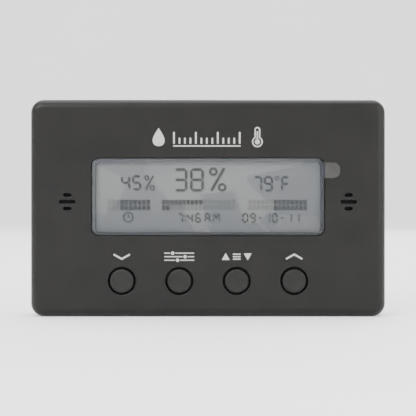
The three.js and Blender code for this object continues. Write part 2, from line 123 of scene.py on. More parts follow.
class Solid:
    """A closed mesh made of outlines at given depths, joined by walls and closed by flat faces."""

    def __init__(self):
        self.vertices = []
        self.faces = []
        self.tags = []

    def loop(self, outline, y):
        start = len(self.vertices)
        self.vertices += [(x, y, z) for x, z in outline]
        return list(range(start, len(self.vertices)))

    def wall(self, a, b, tag=0):
        n = len(a)
        for i in range(n):
            j = (i + 1) % n
            self.faces.append((a[i], a[j], b[j], b[i]))
            self.tags.append(tag)

    def loft(self, levels, tag=0):
        """Walls through a list of (outline, y). Returns the first and last loops."""
        loops = [self.loop(outline, y) for outline, y in levels]
        for a, b in zip(loops, loops[1:]):
            self.wall(a, b, tag)
        return loops[0], loops[-1]

    def cap(self, outer, holes=(), tag=0):
        """A flat face between an outer loop and the loops of its holes."""
        loops = [outer, *holes]
        flat = [index for loop in loops for index in loop]
        rings = [
            [Vector((self.vertices[i][0], self.vertices[i][2], 0)) for i in loop] for loop in loops
        ]
        for a, b, c in tessellate_polygon(rings):
            self.faces.append((flat[a], flat[b], flat[c]))
            self.tags.append(tag)

    def lathe(self, profile, x, z):
        """A solid of revolution about Y. profile is a list of (radius, y), closed with flat ends."""
        first, last = self.loft([(round_outline(r, x, z), y) for r, y in profile])
        self.cap(first)
        self.cap(last)

    def prism(self, outline, front, back, tag=0):
        """An outline made solid between two depths."""
        first, last = self.loft([(outline, front), (outline, back)], tag)
        self.cap(first, tag=tag)
        self.cap(last, tag=tag)


SHARP_ANGLE = 38.0  # degrees between faces that still blend into each other
BEVEL_ANGLE = 8.0  # the same where a face square to Y meets its bevel


def piece(name, solid, materials, body="case", stands_for=()):
    """Makes the mesh object, shades it, hangs it on the body it rides on and hides the CAD nodes it
    stands for.
    """
    mesh = bpy.data.meshes.new(name)
    mesh.from_pydata([tuple(c * MM for c in v) for v in solid.vertices], [], solid.faces)
    for m in materials if isinstance(materials, (list, tuple)) else [materials]:
        mesh.materials.append(m)
    for polygon, tag in zip(mesh.polygons, solid.tags):
        polygon.material_index = tag
    bm = bmesh.new()
    bm.from_mesh(mesh)
    bmesh.ops.remove_doubles(bm, verts=bm.verts, dist=1e-8)
    bmesh.ops.recalc_face_normals(bm, faces=bm.faces)
    for face in bm.faces:
        face.smooth = True
    for edge in bm.edges:
        flat = {abs(face.normal.y) > 0.9999 for face in edge.link_faces}
        limit = BEVEL_ANGLE if len(flat) == 2 else SHARP_ANGLE
        edge.smooth = edge.calc_face_angle(0.0) < math.radians(limit)
    bm.to_mesh(mesh)
    bm.free()
    thing = bpy.data.objects.new(name, mesh)
    bpy.context.scene.collection.objects.link(thing)
    weighted = thing.modifiers.new("weighted_normals", "WEIGHTED_NORMAL")
    weighted.mode = "FACE_AREA"
    weighted.keep_sharp = True
    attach(thing, body)
    if stands_for:
        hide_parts(*stands_for)


# ---- Materials ----


def new_material(name, color, roughness, metallic=0.0, **inputs):
    """A principled material with its plain values set on the shader's own sockets."""
    m = bpy.data.materials.new(name)
    m.use_nodes = True
    shader = m.node_tree.nodes["Principled BSDF"]
    shader.inputs["Base Color"].default_value = (*color, 1.0)
    shader.inputs["Roughness"].default_value = roughness
    shader.inputs["Metallic"].default_value = metallic
    for key, value in inputs.items():
        shader.inputs[key.replace("_", " ")].default_value = value
    m.diffuse_color = (*color, 1.0)
    return m


def add_node(m, kind, **values):
    made = m.node_tree.nodes.new(kind)
    for key, value in values.items():
        if hasattr(made, key):
            setattr(made, key, value)
        else:
            made.inputs[key.replace("_", " ")].default_value = value
    return made


def shader_of(m):
    return m.node_tree.nodes["Principled BSDF"]


def object_point(m):
    return add_node(m, "ShaderNodeTexCoord").outputs["Object"]


def noise(m, scale, detail=2.0, rough=0.5, stretch=None):
    """Noise over the object's own metres, so scale is in cycles per metre."""
    made = add_node(m, "ShaderNodeTexNoise", Scale=scale, Detail=detail, Roughness=rough)
    link = m.node_tree.links.new
    if stretch:
        mapping = add_node(m, "ShaderNodeMapping")
        mapping.inputs["Scale"].default_value = stretch
        link(object_point(m), mapping.inputs["Vector"])
        link(mapping.outputs["Vector"], made.inputs["Vector"])
    else:
        link(object_point(m), made.inputs["Vector"])
    return made.outputs["Fac"]


def remap(m, value, low, high, to_low, to_high):
    made = add_node(m, "ShaderNodeMapRange")
    made.inputs["From Min"].default_value = low
    made.inputs["From Max"].default_value = high
    made.inputs["To Min"].default_value = to_low
    made.inputs["To Max"].default_value = to_high
    m.node_tree.links.new(value, made.inputs["Value"])
    return made.outputs["Result"]


def blend_colors(m, value, a, b, low=0.3, high=0.7):
    """Runs from colour a to colour b as value goes from low to high, into the base colour."""
    ramp = add_node(m, "ShaderNodeValToRGB")
    ramp.color_ramp.elements[0].position = low
    ramp.color_ramp.elements[0].color = (*a, 1.0)
    ramp.color_ramp.elements[1].position = high
    ramp.color_ramp.elements[1].color = (*b, 1.0)
    m.node_tree.links.new(value, ramp.inputs["Fac"])
    m.node_tree.links.new(ramp.outputs["Color"], shader_of(m).inputs["Base Color"])


def vary_roughness(m, value, low, high):
    result = remap(m, value, 0.3, 0.7, low, high)
    m.node_tree.links.new(result, shader_of(m).inputs["Roughness"])


def add_bump(m, value, depth_mm, strength=0.5):
    made = add_node(m, "ShaderNodeBump")
    made.inputs["Distance"].default_value = depth_mm * MM
    made.inputs["Strength"].default_value = strength
    m.node_tree.links.new(value, made.inputs["Height"])
    previous = shader_of(m).inputs["Normal"]
    if previous.links:
        m.node_tree.links.new(previous.links[0].from_socket, made.inputs["Normal"])
    m.node_tree.links.new(made.outputs["Normal"], previous)


def moulded(name, dark, light, roughness, grain=5200.0, depth=0.012, shine=0.5):
    """Spark-eroded plastic: fine grain, faint clouding of colour and handling marks in the gloss."""
    m = new_material(name, dark, roughness[0], Specular_IOR_Level=shine)
    blend_colors(m, noise(m, 140.0, 3.0), dark, light)
    vary_roughness(m, noise(m, 60.0, 4.0, 0.6), *roughness)
    add_bump(m, noise(m, grain, 2.0, 0.6), depth, 0.35)
    add_bump(m, noise(m, 45.0, 1.0), 0.05, 0.12)
    return m


def dull(name, dark, light, roughness):
    """Rubber, epoxy or ceramic: faint clouding of colour, uneven gloss and a fine grain."""
    m = new_material(name, dark, roughness[0])
    blend_colors(m, noise(m, 300.0, 3.0), dark, light)
    vary_roughness(m, noise(m, 500.0, 2.0), *roughness)
    add_bump(m, noise(m, 3000.0, 2.0), 0.01, 0.3)
    return m


def metal(name, dark, light, roughness, stretch=(1.0, 1.0, 60.0)):
    """Metal with fine rolling lines and an uneven gloss."""
    m = new_material(name, dark, roughness[0], metallic=1.0)
    brushed = noise(m, 300.0, 3.0, 0.6, stretch)
    blend_colors(m, brushed, dark, light)
    vary_roughness(m, noise(m, 150.0, 2.0), *roughness)
    add_bump(m, brushed, 0.0008, 0.05)
    return m


case_plastic = moulded(
    "case_plastic",
    (0.0055, 0.0053, 0.0048),
    (0.008, 0.0077, 0.007),
    (0.32, 0.4),
    grain=2600.0,
    depth=0.02,
    shine=0.22,
)
key_plastic = moulded(
    "key_plastic", (0.007, 0.0068, 0.0062), (0.01, 0.0096, 0.0089), (0.46, 0.54), shine=0.25
)
carrier = moulded("carrier_plastic", (0.55, 0.53, 0.47), (0.64, 0.62, 0.56), (0.45, 0.55))
sensor_cap = moulded("sensor_white", (0.6, 0.6, 0.56), (0.7, 0.7, 0.66), (0.4, 0.5))
silicone = dull("silicone", (0.18, 0.19, 0.2), (0.24, 0.25, 0.26), (0.55, 0.7))
carbon = dull("carbon", (0.006, 0.006, 0.006), (0.012, 0.012, 0.012), (0.7, 0.85))
epoxy = dull("epoxy_black", (0.005, 0.005, 0.005), (0.009, 0.009, 0.009), (0.18, 0.3))
ceramic_dark = dull("ceramic_dark", (0.014, 0.012, 0.011), (0.022, 0.02, 0.018), (0.4, 0.55))
ceramic_tan = dull("ceramic_tan", (0.34, 0.23, 0.12), (0.42, 0.3, 0.17), (0.45, 0.6))
nickel = metal("nickel_plate", (0.48, 0.46, 0.42), (0.58, 0.56, 0.52), (0.2, 0.32))
stainless = metal("stainless", (0.52, 0.52, 0.5), (0.56, 0.56, 0.54), (0.24, 0.3), (30.0, 1.0, 1.0))
lithium = metal("lithium", (0.3, 0.3, 0.29), (0.4, 0.4, 0.38), (0.45, 0.6))
black_zinc = metal("black_zinc", (0.035, 0.035, 0.038), (0.07, 0.07, 0.075), (0.3, 0.42))


def print_ink():
    """Pad-printed light grey ink, slightly uneven in cover."""
    m = new_material("print_ink", (0.38, 0.38, 0.365), 0.5)
    blend_colors(m, noise(m, 1500.0, 3.0), (0.33, 0.33, 0.315), (0.42, 0.42, 0.4))
    add_bump(m, noise(m, 4000.0), 0.004, 0.3)
    return m


def board_laminate():
    m = new_material("board_laminate", (0.012, 0.08, 0.03), 0.35)
    weave = add_node(m, "ShaderNodeTexBrick", Scale=900.0)
    m.node_tree.links.new(object_point(m), weave.inputs["Vector"])
    blend_colors(m, noise(m, 250.0, 3.0), (0.01, 0.065, 0.025), (0.018, 0.1, 0.04))
    add_bump(m, weave.outputs["Fac"], 0.01, 0.2)
    return m


def membrane_cloth():
    m = new_material("membrane", (0.018, 0.02, 0.022), 0.9)
    cells = add_node(m, "ShaderNodeTexVoronoi", Scale=5000.0)
    m.node_tree.links.new(object_point(m), cells.inputs["Vector"])
    blend_colors(m, noise(m, 2500.0), (0.012, 0.013, 0.014), (0.028, 0.03, 0.032))
    add_bump(m, cells.outputs["Distance"], 0.05, 0.5)
    return m


def zebra_elastomer():
    m = new_material("zebra_elastomer", (0.5, 0.25, 0.22), 0.6)
    stripes = add_node(m, "ShaderNodeTexWave", Scale=1600.0, Distortion=0.0)
    m.node_tree.links.new(object_point(m), stripes.inputs["Vector"])
    blend_colors(m, stripes.outputs["Fac"], (0.02, 0.018, 0.017), (0.5, 0.25, 0.22), 0.45, 0.55)
    return m


def clear(name, color, roughness, alpha, ior=1.49):
    """A clear sheet: what lies behind shows through it, and its gloss stays."""
    m = new_material(name, color, roughness, Alpha=alpha, IOR=ior, Specular_IOR_Level=0.35)
    vary_roughness(m, noise(m, 90.0, 3.0), roughness * 0.7, roughness * 1.4)
    add_bump(m, noise(m, 35.0, 1.0), 0.02, 0.06)
    return m


def film_plastic():
    """The peel-off film: almost clear, with bluish patches where it clings to the window, and a
    greyer pull tab past the window's edge."""
    m = new_material("film_clear", (0.055, 0.066, 0.088), 0.22, IOR=1.45, Specular_IOR_Level=0.2)
    link = m.node_tree.links.new
    patches = add_node(m, "ShaderNodeTexVoronoi", Scale=105.0, feature="SMOOTH_F1")
    patches.inputs["Smoothness"].default_value = 0.12
    turned_over = add_node(m, "ShaderNodeMapping")
    turned_over.inputs["Rotation"].default_value = (0.0, math.radians(28.0), 0.0)
    turned_over.inputs["Scale"].default_value = (1.0, 1.0, 1.3)
    link(object_point(m), turned_over.inputs["Vector"])
    link(turned_over.outputs["Vector"], patches.inputs["Vector"])
    pick = add_node(m, "ShaderNodeSeparateColor")
    link(patches.outputs["Color"], pick.inputs["Color"])
    cloud = remap(m, pick.outputs["Red"], 0.45, 0.6, 0.0, 0.11)
    at = add_node(m, "ShaderNodeSeparateXYZ")
    link(object_point(m), at.inputs["Vector"])
    edge = limits("display_lens")[1].x * MM
    tab = remap(m, at.outputs["X"], edge - 0.0002, edge + 0.0004, 0.0, 1.0)
    blend_colors(m, tab, (0.055, 0.066, 0.088), (0.068, 0.067, 0.064), 0.2, 0.8)
    alpha = add_node(m, "ShaderNodeMath", operation="MULTIPLY_ADD", use_clamp=True)
    link(tab, alpha.inputs[0])
    alpha.inputs[1].default_value = 0.5
    link(cloud, alpha.inputs[2])
    link(alpha.outputs["Value"], shader_of(m).inputs["Alpha"])
    add_bump(m, patches.outputs["Distance"], 0.04, 0.2)
    add_bump(m, noise(m, 260.0, 2.0), 0.02, 0.15)
    return m


def polariser_film():
    """The face of the display: a cool neutral grey, with painted shade that makes it a little darker
    towards its foot.
    """
    m = new_material("polariser", (0.13, 0.14, 0.14), 0.4, Specular_IOR_Level=0.3)
    link = m.node_tree.links.new
    low, high = limits("lcd_front_polariser")
    at = add_node(m, "ShaderNodeSeparateXYZ")
    link(object_point(m), at.inputs["Vector"])
    # Painted shade: the grey runs darker from the top of the polariser down to its foot.
    shade = remap(m, at.outputs["Z"], low.z * MM, high.z * MM, 0.0, 1.0)
    cloud = noise(m, 70.0, 2.0)
    clouded_painted_shade = add_node(m, "ShaderNodeMath", operation="MULTIPLY_ADD")
    link(cloud, clouded_painted_shade.inputs[0])
    clouded_painted_shade.inputs[1].default_value = 0.5
    link(shade, clouded_painted_shade.inputs[2])
    blend_colors(m, clouded_painted_shade.outputs["Value"], (0.124, 0.129, 0.131), (0.158, 0.162, 0.163), 0.1, 1.2)
    add_bump(m, noise(m, 6000.0), 0.003, 0.3)
    return m


def adhesive_tape():
    """Grey tape, seen through the window's rim, with painted shade along its foot and right."""
    m = new_material("tape_grey", (0.078, 0.082, 0.088), 0.75)
    link = m.node_tree.links.new
    low, high = limits("display_lens")
    at = add_node(m, "ShaderNodeSeparateXYZ")
    link(object_point(m), at.inputs["Vector"])
    inner, outer = 1.4 * MM, 0.6 * MM
    edge_x, edge_z = high.x * MM, low.z * MM
    right = remap(m, at.outputs["X"], edge_x - inner, edge_x - outer, 0.0, 1.0)
    foot = remap(m, at.outputs["Z"], edge_z + inner, edge_z + outer, 0.0, 1.0)
    # Painted shade: the tape's grey turns darker towards its right side and its foot.
    shade = add_node(m, "ShaderNodeMath", operation="MAXIMUM")
    link(right, shade.inputs[0])
    link(foot, shade.inputs[1])
    clouded_painted_shade = add_node(m, "ShaderNodeMath", operation="MULTIPLY_ADD")
    link(noise(m, 140.0, 3.0), clouded_painted_shade.inputs[0])
    clouded_painted_shade.inputs[1].default_value = 0.2
    link(shade.outputs["Value"], clouded_painted_shade.inputs[2])
    blend_colors(m, clouded_painted_shade.outputs["Value"], (0.078, 0.082, 0.088), (0.022, 0.023, 0.025), 0.0, 1.0)
    add_bump(m, noise(m, 5200.0, 2.0, 0.6), 0.012, 0.35)
    return m


def segment_ink(name, color):
    """What a switched area of the liquid crystal looks like, slightly uneven across the glass; the same
    also colours the figures' painted shadow.
    """
    m = new_material(name, color, 0.3)
    blend_colors(m, noise(m, 120.0), color, tuple(c * 1.15 for c in color))
    return m


acrylic = clear("lens_acrylic", (0.3, 0.31, 0.32), 0.05, 0.02)
glass = clear("lcd_glass", (0.45, 0.47, 0.46), 0.03, 0.35, 1.52)
ink = print_ink()
laminate = board_laminate()
membrane = membrane_cloth()
zebra = zebra_elastomer()
film = film_plastic()
polariser = polariser_film()
tape = adhesive_tape()
reflector = moulded("reflector", (0.33, 0.34, 0.33), (0.4, 0.41, 0.4), (0.3, 0.38))
segment_dark = segment_ink("lcd_segment_on", (0.014, 0.0145, 0.0135))
segment_ghost = segment_ink("lcd_segment_off", (0.08, 0.084, 0.079))
# Painted shadow: a grey a little darker than the polariser, for the copy of the figures laid on it.
painted_segment_shadow = segment_ink("lcd_segment_shadow", (0.085, 0.089, 0.088))

# ---- The case shells ----

front_low, front_high = limits("front_housing")
WIDTH = front_high.x - front_low.x
HEIGHT = front_high.z - front_low.z
MID_Z = HEIGHT / 2
FRONT = front_low.y
SPLIT = front_high.y
BACK = limits("rear_housing")[1].y
SEAM_GAP = 0.1
SEAM = SPLIT + SEAM_GAP
CORNER = 3.2
FRONT_FILLET = 2.2
REAR_FILLET = 1.6
WALL = 1.8
FRONT_WALL = 2.0
INSIDE_FRONT = FRONT + FRONT_WALL
INSIDE_BACK = BACK - 1.6
RIM_STEP = 0.9  # the front shell's rim takes this much of the wall, and the rear's tongue the rest
RIM_DEPTH = 1.3
# The shells' edges at the seam, eased: how far in from the side, and how far from the seam.
SEAM_EASE = ((0.0, 0.16), (0.05, 0.05), (0.16, 0.0))

key_names = ["down", "set", "recall", "up"]
key_centres = [sum(limits(f"key_{k}"), Vector()) / 2 for k in key_names]
case_screws = [sum(limits(f"case_screw_{i}"), Vector()) / 2 for i in range(1, 5)]
board_screws = [sum(limits(f"board_screw_{i}"), Vector()) / 2 for i in range(1, 5)]
vents = [sum(limits(f"vent_membrane_{side}"), Vector()) / 2 for side in ("left", "right")]
lens_low, lens_high = limits("display_lens")
LENS_Z = (lens_low.z + lens_high.z) / 2
LENS_MARGIN = 0.9  # the lens pocket reaches this far past the sight opening
LENS_GROW = 0.75  # and the lens this far
POCKET_DEPTH = 1.2
SIGHT = (lens_high.x - lens_low.x - 2 * LENS_GROW, lens_high.z - lens_low.z - 2 * LENS_GROW, 0.9)


def case_outline(amount=0.0):
    return rounded(WIDTH - 2 * amount, HEIGHT - 2 * amount, max(CORNER - amount, 0.5), 0, MID_Z, 10)


def fillet(radius, face_y, way, steps=8):
    """Levels from the edge of a flat face, round its rim, to the side wall. way is +1 or -1."""
    levels = []
    for i in range(steps + 1):
        a = math.radians(90 * i / steps)
        depth = radius * (1 - math.cos(a))
        levels.append((case_outline(radius * (1 - math.sin(a))), face_y + way * depth))
    return levels


def sight(grow, steps=8):
    width, height, radius = SIGHT
    return rounded(width + 2 * grow, height + 2 * grow, radius + grow, 0, LENS_Z, steps)


VENT_SLOTS = ((1.9, 1.65), (3.9, 0.0), (1.9, -1.65))  # width, and height above the middle
VENT_HEIGHT = 0.8
VENT_EASE = ((0.14, 0.0), (0.05, 0.03), (0.0, 0.13), (0.0, FRONT_WALL))
MEMBRANE_OFFSET = 0.15  # a membrane's centre is this much further out than its vent's
KEY_HOLE = 3.2
KEY_FLARE = ((0.38, 0.0), (0.26, 0.03), (0.14, 0.1), (0.04, 0.24), (0.0, 0.42), (0.0, FRONT_WALL))
CASE_BOSS = (2.6, 0.2, 1.05)  # radius, end and bore of a screw boss
BOARD_POST = (1.7, -0.52, 0.85)
BORE_END = -2.9  # floor of the screw holes in both


def front_shell():
    s = Solid()
    rim = fillet(FRONT_FILLET, FRONT, 1)
    rim += [(case_outline(amount), SPLIT - y) for amount, y in SEAM_EASE]
    rim += [
        (case_outline(RIM_STEP), SPLIT),
        (case_outline(RIM_STEP), SPLIT - RIM_DEPTH),
        (case_outline(WALL), SPLIT - RIM_DEPTH),
        (case_outline(WALL), INSIDE_FRONT),
    ]
    outer, inner = s.loft(rim)
    fronts, backs = [], []

    def hole(levels):
        first, last = s.loft(levels)
        fronts.append(first)
        backs.append(last)

    hole(
        [
            (sight(LENS_MARGIN + 0.2), FRONT),
            (sight(LENS_MARGIN + 0.07), FRONT + 0.04),
            (sight(LENS_MARGIN), FRONT + 0.16),
            (sight(LENS_MARGIN), FRONT + POCKET_DEPTH),
            (sight(0.0), FRONT + POCKET_DEPTH),
            (sight(0.0), INSIDE_FRONT),
        ]
    )
    for centre in key_centres:
        hole([(round_outline(KEY_HOLE + r, centre.x, centre.z), FRONT + y) for r, y in KEY_FLARE])
    for centre in vents:
        x = centre.x - math.copysign(MEMBRANE_OFFSET, centre.x)
        for width, rise in VENT_SLOTS:
            levels = []
            for grow, y in VENT_EASE:
                size = (width + 2 * grow, VENT_HEIGHT + 2 * grow, 0.39 + grow)
                levels.append((rounded(*size, x, centre.z + rise, 6), FRONT + y))
            hole(levels)
    s.cap(outer, fronts)
    # Bosses for the case screws and posts for the board stand on the inside.
    standing = []
    for spots, (radius, end, bore) in ((case_screws, CASE_BOSS), (board_screws, BOARD_POST)):
        for centre in spots:
            rings = [(radius, INSIDE_FRONT), (radius, end), (bore, end), (bore, BORE_END)]
            first, last = s.loft([(round_outline(r, centre.x, centre.z, 32), y) for r, y in rings])
            standing.append(first)
            s.cap(last)
    s.cap(inner, backs + standing)
    return s


piece("case_front", front_shell(), case_plastic, "case", ["front_housing"])

# ---- The bayonet and the rear shell ----

cell_low, cell_high = limits("coin_cell_can")
CELL_X = (cell_low.x + cell_high.x) / 2
CELL_Z = (cell_low.z + cell_high.z) / 2
DOOR_RADIUS = 12.6
DOOR_FRONT = 4.75
DOOR_RECESS = 12.85
SKIRT = (10.3, 10.75)  # inner and outer radius
SKIRT_FRONT = 2.9
LUG_RADIUS = 11.75
LUG_BACK = 3.75
LUG_ANGLES = (90, 210, 330)
LUG_HALF = 14  # degrees
TURN_SLACK = 3  # degrees between a lug and its stop
DOOR_TURN = 40  # degrees from the open mark to locked
LEDGE_RADIUS = 10.95
LEDGE_BACK = 4.65
LEDGE_FRONT = 3.85
GROOVE_RADIUS = 12.0
GROOVE_FRONT = 2.8
WELL = (10.4, 13.3)  # inner and outer radius
WELL_FRONT = 0.8
SEAL = (11.22, 11.88)  # inner and outer radius
SEAL_GROOVE = (11.15, 11.95, 5.25)  # inner and outer radius, and floor
HEAD_SEAT = 4.35
HEAD_HOLE = 2.2
SHANK_HOLE = 1.25
SLEEVE = (3.0, 0.3)  # outer radius and front end of the sleeve round a case screw


def angle_list(edges):
    """Even steps round a circle, plus a tight pair of angles at each edge of a notch."""
    count, clearance, half_step = 96, 0.9, 0.05
    turns = {360 * i / count for i in range(count)}
    for edge in edges:
        turns -= {a for a in turns if abs((a - edge + 180) % 360 - 180) < clearance}
        turns |= {(edge - half_step) % 360, (edge + half_step) % 360}
    return sorted(turns)


def within(angle, spans):
    return any((angle - start) % 360 <= end - start for start, end in spans)


def rear_shell():
    s = Solid()
    tongue = RIM_STEP + SEAM_GAP
    rim = fillet(REAR_FILLET, BACK, -1)
    rim += [(case_outline(amount), SEAM + y) for amount, y in SEAM_EASE]
    rim += [
        (case_outline(tongue), SEAM),
        (case_outline(tongue), SEAM - RIM_DEPTH),
        (case_outline(WALL), SEAM - RIM_DEPTH),
        (case_outline(WALL), INSIDE_BACK),
    ]
    outer, inner = s.loft(rim)
    half = LUG_HALF + TURN_SLACK
    entries = [(a - half, a + half) for a in LUG_ANGLES]
    grooves = [(a - half, a + half + DOOR_TURN) for a in LUG_ANGLES]
    turns = angle_list([edge for span in entries + grooves for edge in span])

    def ledge(angle):
        return GROOVE_RADIUS if within(angle, entries) else LEDGE_RADIUS

    def groove(angle):
        return GROOVE_RADIUS if within(angle, grooves) else LEDGE_RADIUS

    levels = [
        (DOOR_RECESS + 0.2, BACK),
        (DOOR_RECESS + 0.07, BACK - 0.04),
        (DOOR_RECESS, BACK - 0.15),
        (DOOR_RECESS, LEDGE_BACK),
        (ledge, LEDGE_BACK),
        (ledge, LEDGE_FRONT),
        (groove, LEDGE_FRONT),
        (groove, GROOVE_FRONT),
        (WELL[0], GROOVE_FRONT),
        (WELL[0], WELL_FRONT),
        (WELL[1], WELL_FRONT),
        (WELL[1], INSIDE_BACK),
    ]
    first, last = s.loft([(round_outline(r, CELL_X, CELL_Z, turns), y) for r, y in levels])
    faces, insides = [first], [last]
    for centre in case_screws:
        rings = [
            (HEAD_HOLE + 0.22, BACK),
            (HEAD_HOLE + 0.08, BACK - 0.05),
            (HEAD_HOLE, BACK - 0.2),
            (HEAD_HOLE, HEAD_SEAT),
            (SHANK_HOLE, HEAD_SEAT),
            (SHANK_HOLE, SLEEVE[1]),
            (SLEEVE[0], SLEEVE[1]),
            (SLEEVE[0], INSIDE_BACK),
        ]
        first, last = s.loft([(round_outline(r, centre.x, centre.z, 48), y) for r, y in rings])
        faces.append(first)
        insides.append(last)
    s.cap(outer, faces)
    s.cap(inner, insides)
    return s


piece("case_rear", rear_shell(), case_plastic, "case", ["rear_housing"])


def turned_point(x, z, degrees):
    """A point turned about the door's axis. Positive runs from +X towards +Z."""
    a = math.radians(degrees)
    return (
        CELL_X + x * math.cos(a) - z * math.sin(a),
        CELL_Z + x * math.sin(a) + z * math.cos(a),
    )


def battery_door():
    s = Solid()
    lugs = [(a - LUG_HALF, a + LUG_HALF) for a in LUG_ANGLES]
    turns = angle_list([edge for span in lugs for edge in span])

    def lug(angle):
        return LUG_RADIUS if within(angle, lugs) else SKIRT[1]

    levels = [
        (DOOR_RADIUS - 0.32, BACK),
        (DOOR_RADIUS - 0.16, BACK - 0.04),
        (DOOR_RADIUS - 0.05, BACK - 0.14),
        (DOOR_RADIUS, BACK - 0.32),
        (DOOR_RADIUS, DOOR_FRONT + 0.13),
        (DOOR_RADIUS - 0.12, DOOR_FRONT),
        (SEAL_GROOVE[1], DOOR_FRONT),
        (SEAL_GROOVE[1], SEAL_GROOVE[2]),
        (SEAL_GROOVE[0], SEAL_GROOVE[2]),
        (SEAL_GROOVE[0], DOOR_FRONT),
        (SKIRT[1], DOOR_FRONT),
        (SKIRT[1], LUG_BACK),
        (lug, LUG_BACK),
        (lug, SKIRT_FRONT),
        (SKIRT[0], SKIRT_FRONT),
        (SKIRT[0], DOOR_FRONT),
    ]
    first, last = s.loft([(round_outline(r, CELL_X, CELL_Z, turns), y) for r, y in levels])
    slot_levels = []
    for grow, depth in ((0.16, 0.0), (0.05, 0.04), (0.0, 0.16), (-0.06, 0.75)):
        shape = rounded(13 + 2 * grow, 1.9 + 2 * grow, 0.9 + grow)
        slot_levels.append(([turned_point(x, z, -DOOR_TURN) for x, z in shape], BACK - depth))
    slot_top, slot_floor = s.loft(slot_levels)
    s.cap(first, [slot_top])
    s.cap(slot_floor)
    s.cap(last)
    return s


piece("cell_door", battery_door(), case_plastic, "door", ["battery_door"])


def ring_seal():
    """A square-cut ring with softened corners."""
    s = Solid()
    low, high = limits("battery_door_seal")
    inner, outer = SEAL
    soft = 0.12
    section = [
        (inner + soft, low.y),
        (outer - soft, low.y),
        (outer, low.y + soft),
        (outer, high.y - soft),
        (outer - soft, high.y),
        (inner + soft, high.y),
        (inner, high.y - soft),
        (inner, low.y + soft),
    ]
    loops = [s.loop(round_outline(r, CELL_X, CELL_Z, 96), y) for r, y in section]
    for a, b in zip(loops, loops[1:] + loops[:1]):
        s.wall(a, b)
    return s


piece("cell_door_seal", ring_seal(), silicone, "door_seal", ["battery_door_seal"])

# ---- Screws ----


def screw(centre, seat, head, depth, shank, length, thread):
    """A pan head with a cross recess on a shank with cutting rings. It points towards -Y."""
    s = Solid()
    x, z = centre.x, centre.z
    top = seat + depth
    cross = plus_outline(head * 0.62, head * 0.13)

    def recess(scale, y):
        return s.loop([(x + px * scale, z + pz * scale) for px, pz in cross], y)

    rim, floor = recess(1.0, top), recess(0.62, top - depth * 0.6)
    s.wall(rim, floor)
    s.cap(floor)
    profile = [
        (head * 0.76, top),
        (head * 0.88, top - depth * 0.1),
        (head * 0.97, top - depth * 0.3),
        (head, top - depth * 0.6),
        (head, seat + 0.06),
        (head - 0.06, seat),
        (shank, seat),
        (shank, seat - length + thread),
    ]
    pitch = 0.5
    for i in range(int(thread / pitch) - 1):
        y = seat - length + thread - i * pitch
        profile += [(shank * 0.8, y - pitch * 0.4), (shank * 1.06, y - pitch * 0.75)]
    profile += [(shank * 0.5, seat - length + 0.2), (shank * 0.2, seat - length)]
    first, last = s.loft([(round_outline(r, x, z, 40), y) for r, y in profile])
    s.cap(first, [rim])
    s.cap(last)
    return s


CASE_SCREW = (1.95, 1.3, 0.88, 6.8, 2.6)  # head radius and depth, shank radius, length, thread
BOARD_SCREW = (1.5, 0.9, 0.7, 3.2, 1.8)
for kind, spots, size, finish, slot in (
    ("case_screw", case_screws, CASE_SCREW, black_zinc, "black_zinc"),
    ("board_screw", board_screws, BOARD_SCREW, nickel, "nickel_plate"),
):
    for i, centre in enumerate(spots, 1):
        name = f"{kind}_{i}"
        seat = limits(name)[1].y - size[1]
        piece(f"{name}_body", screw(centre, seat, *size), finish, "case", [name])

# ---- Display window and its film ----


def window_lens():
    s = Solid()
    front, back = lens_low.y, lens_high.y
    levels = [
        (sight(LENS_GROW - 0.14, 10), front),
        (sight(LENS_GROW - 0.04, 10), front + 0.04),
        (sight(LENS_GROW, 10), front + 0.14),
        (sight(LENS_GROW, 10), back - 0.1),
        (sight(LENS_GROW - 0.1, 10), back),
    ]
    first, last = s.loft(levels)
    s.cap(first)
    s.cap(last)
    return s


piece("window_lens", window_lens(), acrylic, "case", ["display_lens"])


def film_outline():
    """The film's sheet with its pull tab, as one outline, counter-clockwise from the front."""
    low, high = limits("display_film")
    top, bottom, right = high.z, low.z, -low.x
    corner = 1.5
    tab_corner, tab_z, tab_half = 1.75, 35.4, 1.9
    tab_top, tab_bottom = tab_z + tab_half, tab_z - tab_half
    tab_x = high.x - tab_corner
    return [
        *arc_points(low.x + corner, bottom + corner, corner, 180, 270, 8),
        *arc_points(right - corner, bottom + corner, corner, 270, 360, 8),
        *arc_points(right + 0.5, tab_bottom - 0.5, 0.5, 180, 90, 4),
        *arc_points(tab_x, tab_bottom + tab_corner, tab_corner, 270, 360, 8),
        *arc_points(tab_x, tab_top - tab_corner, tab_corner, 0, 90, 8),
        *arc_points(right + 0.4, tab_top + 0.4, 0.4, 270, 180, 4),
        *arc_points(right - corner, top - corner, corner, 35, 90, 6),
        *arc_points(low.x + corner, top - corner, corner, 90, 180, 8),
    ]


